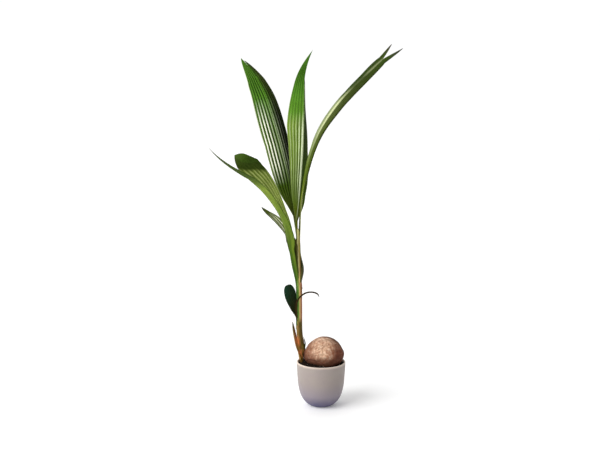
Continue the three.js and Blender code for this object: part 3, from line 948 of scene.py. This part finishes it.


# Colours of each leaf. left and right, or both, hold for its halves from foot to tip: the leaf's own
# greens, and painted shade where a half or a stretch of it is turned from the light, as on the near-black
# right half of leaf_tall_left and the dark top of leaf_bent_left's broad lobe. slant shifts the right
# half's colours toward the foot by its margin, and join is how far across that half the change to them
# reaches. valley_shade_and_veins is painted shade in the pleats' valleys, with its strength from the rib
# to the margin, and its colour also draws dark veins; pleats is its strength along the leaf. shine is a
# painted highlight on the pleats' ridges, with where it starts, is full, lessens and ends along the leaf,
# and shine_left and shine_right are its strength across each half. spine is a band beside the rib, with
# its reach on each side and its strength along the leaf: a painted highlight on leaf_centre and
# leaf_arching_right, and a plain tone on the others. rib has its strength; on those two leaves it is pale,
# a painted highlight. edge, at the margin, has where it starts and its strength on each side.
LEAF_LOOKS = {
    "leaf_tall_left": {
        "left": ((0, (104, 108, 30)), (0.14, (80, 94, 24)), (0.3, (70, 98, 18)), (0.5, (88, 122, 30)),
                 (0.78, (86, 138, 38)), (1, (66, 108, 26))),
        # The right half is turned from the light: its near-black middle is painted shade.
        "right": ((0, (104, 100, 26)), (0.2, (38, 46, 8)), (0.5, (18, 26, 2)), (0.65, (28, 40, 8)),
                  (0.8, (58, 72, 26)), (1, (64, 78, 30))),
        "join": 0.3, "valley_shade_and_veins": ((14, 28, 2), 0.9, 0.9, 0.6, 0.3),
        "shine": ((255, 255, 236), 0.28, 0.4, 0.62, 0.76),
        "shine_left": ((0, 0.2), (0.3, 0.4), (0.45, 1), (0.85, 1), (1, 0.85)),
        "shine_right": ((0, 0.3), (0.3, 0.15), (0.55, 0)),
        "spine": ((60, 84, 20), 0.06, 0.06, 0.4),
        "rib": ((60, 84, 20), 0.9), "edge": ((200, 212, 160), 0.93, 0.8, 0),
    },
    "leaf_centre": {
        # The left half darkens from the middle up, and the right half is dark: painted shade.
        "left": ((0, (122, 122, 36)), (0.2, (88, 110, 22)), (0.5, (116, 143, 48)), (0.61, (116, 143, 52)),
                 (0.67, (92, 138, 40)), (0.78, (74, 124, 32)), (1, (58, 98, 22))),
        "right": ((0, (110, 110, 30)), (0.2, (64, 84, 18)), (0.4, (54, 74, 16)), (0.6, (42, 58, 12)),
                  (1, (44, 66, 14))),
        "join": 0.1, "valley_shade_and_veins": ((20, 48, 0), 0.9, 0.5, 0.2, 0.1),
        "pleats": ((0.1, 0.3), (0.3, 1), (0.62, 1), (0.72, 0.2)),
        "shine": ((222, 236, 188), 0.16, 0.34, 0.58, 0.68),
        "shine_left": ((0, 0.8), (0.3, 0.7), (0.4, 0.35), (0.6, 0.25), (1, 0.35)),
        "shine_right": ((0, 0.7), (0.12, 0)),
        # The pale band beside the rib and the pale rib are painted highlights.
        "spine": ((250, 255, 236), 0.13, 0, (0.2, 0), (0.32, 0.9), (0.56, 0.9), (0.66, 0)),
        "rib": ((206, 218, 168), 0.6), "edge": ((166, 184, 110), 0.93, 0.5, 0.3),
    },
    "leaf_arching_right": {
        "left": ((0, (124, 128, 36)), (0.3, (96, 116, 34)), (0.42, (112, 126, 72)), (0.5, (118, 130, 92)),
                 (0.64, (108, 118, 82)), (0.69, (58, 76, 32)), (0.8, (44, 62, 14)), (0.94, (52, 70, 18)),
                 (1, (66, 54, 48))),
        "right": ((0, (90, 96, 24)), (0.2, (84, 98, 30)), (0.3, (74, 90, 24)), (0.6, (64, 76, 26)),
                  (0.8, (50, 64, 16)), (0.93, (52, 72, 18)), (1, (56, 48, 46))),
        "join": 0.08, "valley_shade_and_veins": ((26, 38, 4), 0.3, 0.4, 0.4, 0.4),
        "shine": ((196, 208, 156), 0.35, 0.5, 0.64, 0.69),
        "shine_left": ((0, 0.35), (1, 0.3)), "shine_right": ((0, 0.1), (1, 0)),
        # The pale band beside the rib and the pale rib are painted highlights.
        "spine": ((226, 232, 178), 0.28, 0.26, (0.4, 0), (0.56, 0.72), (0.64, 0.72), (0.74, 0.05),
                  (0.8, 0.05), (0.84, 0.22), (0.9, 0.22), (0.94, 0)),
        "rib": ((196, 200, 130), 0.8), "edge": ((34, 42, 10), 0.8, 0.1, 0.75),
    },
    "leaf_bent_left": {
        "left": ((0, (60, 96, 24)), (0.28, (84, 110, 26)), (0.4, (102, 122, 28)), (0.55, (98, 122, 30)),
                 (0.7, (148, 168, 66)), (0.75, (84, 102, 34)), (0.8, (60, 74, 26)), (1, (48, 46, 32))),
        # Dark at the top of the broad lobe, which is turned from the light: painted shade.
        "right": ((0, (60, 96, 16)), (0.3, (130, 158, 44)), (0.56, (144, 168, 62)), (0.8, (158, 178, 82)),
                  (0.91, (126, 144, 60)), (0.935, (60, 76, 22)), (0.99, (56, 74, 22)), (1, (60, 84, 24))),
        "slant": 0.13, "join": 0.05, "valley_shade_and_veins": ((50, 74, 14), 0.4, 0.4, 0.3, 0.3),
        "shine": ((214, 224, 140), 0.36, 0.56, 0.9, 0.93),
        "shine_left": ((0, 0.3), (0.2, 0.7), (0.4, 0.1), (1, 0.1)),
        "shine_right": ((0, 0.5), (0.4, 0.6), (1, 0.3)),
        "spine": ((40, 72, 20), 0.66, 0, (0.2, 0.85), (0.42, 0.6), (0.54, 0)),
        "rib": ((46, 72, 12), 0.9), "edge": ((36, 62, 10), 0.9, 0.6, 0.1),
    },
    "leaf_small_back": {
        "both": ((0, (70, 56, 24)), (0.3, (50, 72, 22)), (0.55, (104, 118, 50)), (0.75, (122, 138, 54)),
                 (0.85, (98, 112, 40)), (1, (66, 70, 30))),
        "join": 0.1, "valley_shade_and_veins": ((52, 74, 16), 0.8),
        "shine": ((255, 255, 224), 0.5, 0.58, 0.8, 0.9),
        "shine_left": (0.7,), "shine_right": (1,),
        "spine": ((50, 66, 20), 0.12, 0.12, 0.8),
        "rib": ((90, 110, 50), 0.7), "edge": ((46, 60, 20), 0.84, 0.9, 0.9),
    },
    "leaf_lowest": {
        "left": ((0, (56, 44, 16)), (0.25, (34, 36, 12)), (0.6, (30, 42, 18)), (1, (28, 52, 36))),
        "right": ((0, (50, 40, 14)), (0.3, (54, 40, 22)), (0.6, (26, 36, 16)), (1, (26, 46, 24))),
        "join": 0.6, "valley_shade_and_veins": ((10, 18, 6), 0.5),
        "shine": ((30, 92, 74), 0.45, 0.7, 0.9, 1),
        "shine_left": ((0, 0.1), (1, 0.5)), "shine_right": ((0, 0), (1, 0.1)),
        "spine": ((40, 60, 34), 0.1, 0.1, 0.4),
        "rib": ((24, 34, 12), 0.7), "edge": ((36, 44, 20), 0.94, 0.4, 0.4),
    },
    "scale_left": {
        "left": ((0, (132, 110, 44)), (0.12, (168, 136, 66)), (0.2, (216, 134, 80)), (0.3, (180, 136, 74)),
                 (0.5, (200, 128, 72)), (0.66, (200, 170, 112)), (0.85, (96, 112, 54)), (1, (60, 84, 34))),
        "right": ((0, (110, 90, 34)), (0.2, (204, 122, 74)), (0.3, (150, 120, 50)), (0.5, (196, 112, 62)),
                  (0.62, (112, 60, 42)), (0.85, (78, 52, 32)), (1, (56, 66, 30))),
        "join": 0.3, "valley_shade_and_veins": ((96, 60, 30), 0.5),
        "shine": ((222, 196, 146), 0.1, 0.3, 0.6, 0.8),
        "shine_left": (0.4,), "shine_right": (0.1,),
        "spine": ((150, 120, 66), 0.2, 0.2, 0.3),
        "rib": ((150, 128, 66), 0.5), "edge": ((190, 160, 96), 0.9, 0.5, 0),
    },
    "scale_right": {
        "left": ((0, (58, 62, 20)), (1, (24, 34, 14))), "right": ((0, (50, 48, 18)), (1, (20, 24, 10))),
        "join": 0.3, "valley_shade_and_veins": ((16, 16, 8), 0.6),
        "shine": ((110, 120, 70), 0.1, 0.3, 0.6, 0.8),
        "shine_left": (0.2,), "shine_right": (0.2,),
        "spine": ((30, 34, 14), 0.2, 0.2, 0.3),
        "rib": ((40, 44, 18), 0.5), "edge": ((60, 50, 24), 0.9, 0.5, 0.5),
    },
}


def leaf_material(name, look):
    shader = Shader(name + "_skin", 0.02)
    along, across, half, ridge = (shader.mark(mark) for mark in ("along", "across", "half", "ridge"))
    grain = shader.node("CombineXYZ", across, shader.times(along, 0.2), half).outputs[0]
    veins = shader.noise(grain, 46, 3, 0.6)
    fine = shader.noise(grain, 120, 2, 0.6)
    cloud = shader.noise(shader.place(), 18, 3)
    shine_left, shine_right = (shader.ramp(across, *look[side]) for side in ("shine_left", "shine_right"))
    slant = look.get("slant")
    slanted = shader.math("MULTIPLY_ADD", across, slant, along) if slant else along
    # The halves' ramps hold painted shade where a half, or a stretch of it, is turned from the light.
    turn = shader.times(half, shader.ramp(across, (0, 0), (look["join"], 1)))
    left, right = (shader.ramp(at, *stops) for at, stops in zip((along, slanted), halves(look)))
    # Painted shade in the pleats' valleys. The same dark colour also draws the veins.
    valley_shade_and_veins, *depths = look["valley_shade_and_veins"]
    depths = (depths * 4)[:4]
    pleats = shader.ramp(along, *look.get("pleats", ((0.1, 0.3), (0.3, 1))))
    valley_shade = shader.times(shader.ramp(ridge, (0, 1), (0.25, 0.7), (0.5, 0)),
                          shader.ramp(across, *zip((0, 0.5, 0.8, 1), depths)), pleats)
    # A painted highlight on the pleats' ridges. Its colour, pale, also draws faint pale grain.
    pale, start, full, lessen, end = look["shine"]
    where = shader.ramp(slanted, (start, 0), (full, 1), (lessen, 1), (end, 0))
    ridge_highlight = shader.times(where, shader.blend(half, shine_left, shine_right),
                         shader.ramp(ridge, (0.5, 0), (0.75, 1)))
    skin = shader.paint(
        shader.blend(turn, left, right),
        (valley_shade_and_veins, valley_shade),
        (pale, ridge_highlight),
        (valley_shade_and_veins, veins, (0.35, 0.3), (0.5, 0)),
        (pale, fine, (0.55, 0), (0.75, 0.07)),
    )
    brightness = shader.math("MULTIPLY_ADD", cloud, 0.7, 0.66)
    skin = shader.node("HueSaturation", None, None, brightness, None, skin).outputs[0]
    # A band beside the rib: a painted highlight on some leaves, a plain tone on others.
    spine, left_reach, right_reach, *stops = look["spine"]
    reach = shader.blend(half, left_reach, right_reach)
    near = shader.math("MULTIPLY", shader.math("SUBTRACT", reach, across), 5.0, clamp=True)
    edge, start, left_strength, right_strength = look["edge"]
    margin = shader.times(shader.ramp(across, (start, 0), (start + 0.06, 1)),
                          shader.blend(half, left_strength, right_strength))
    # The rib's colour, pale on some leaves as a painted highlight.
    rib, rib_strength = look["rib"]
    skin = shader.paint(
        skin,
        ((92, 118, 50), shader.times(shader.mark("under"), 0.22)),
        (spine, shader.times(near, shader.ramp(along, *stops))),
        (edge, margin),
        (rib, shader.times(shader.mark("rib"), rib_strength)),
    )
    normal = shader.bump(fine, 0.1, 0.3, shader.bump(veins, 0.35, 0.5))
    return shader.finish(skin, shader.ramp(cloud, (0.3, 0.42), (0.7, 0.54)), normal)


# Floor, light and camera

def make_floor():
    shader = Shader("floor_paper")
    shader.surface.inputs["Emission Color"].default_value = light(1)
    shader.surface.inputs["Emission Strength"].default_value = FLOOR["glow"]
    reach = FLOOR["reach_m"]
    corners = [(-reach, -reach, 0), (reach, -reach, 0), (reach, reach, 0), (-reach, reach, 0)]
    mesh = bpy.data.meshes.new("floor")
    mesh.from_pydata(corners, [], [(0, 1, 2, 3)])
    mesh.materials.append(shader.finish(light(1), 0.9))
    floor = link(bpy.data.objects.new("floor", mesh))


def make_world():
    """A pale room: white behind the plant and low on all sides, softer before it."""
    world = bpy.data.worlds.new("studio")
    world.use_nodes = True
    room = Nodes(world.node_tree)
    sight = room.node("TexCoord").outputs["Generated"]
    facing = room.node("VectorMath", sight, BRIGHT_SIDE, operation="DOT_PRODUCT").outputs["Value"]
    spread = room.node("MapRange", facing, *ROOM, interpolation_type="SMOOTHSTEP").outputs["Result"]
    upward = room.node("SeparateXYZ", sight).outputs["Z"]
    wall = room.node("MapRange", upward, *WALL).outputs["Result"]
    background = room.tree.nodes["Background"]
    room.feed(background.inputs["Color"], light(1))
    room.feed(background.inputs["Strength"], room.math("MAXIMUM", spread, wall))
    bpy.context.scene.world = world


def make_lamp():
    lamp = bpy.data.lights.new("key", "SUN")
    lamp.energy = LAMP["power"]
    lamp.angle = math.radians(LAMP["spread_deg"])
    key = link(bpy.data.objects.new("key", lamp))
    x, y, z = unit(np.array(LAMP["toward"]))
    key.rotation_euler = (math.acos(-z), 0.0, math.atan2(-x, y))


def make_camera():
    sight = bpy.data.cameras.new("camera")
    sight.sensor_width = CAMERA["sensor_mm"]
    sight.lens = CAMERA["lens_mm"]
    camera = link(bpy.data.objects.new("camera", sight))
    camera.location = CAMERA["at"]
    camera.rotation_euler = (math.radians(90 - CAMERA["down_deg"]), 0.0, 0.0)
    bpy.context.scene.camera = camera
    bpy.context.scene.view_settings.view_transform = "Standard"


def main():
    make_pot()
    make_soil()
    make_coconut()
    make_stem()
    for number, name in enumerate(LEAVES):
        make_leaf(number, name)
    make_floor()
    make_world()
    make_lamp()
    make_camera()


main()
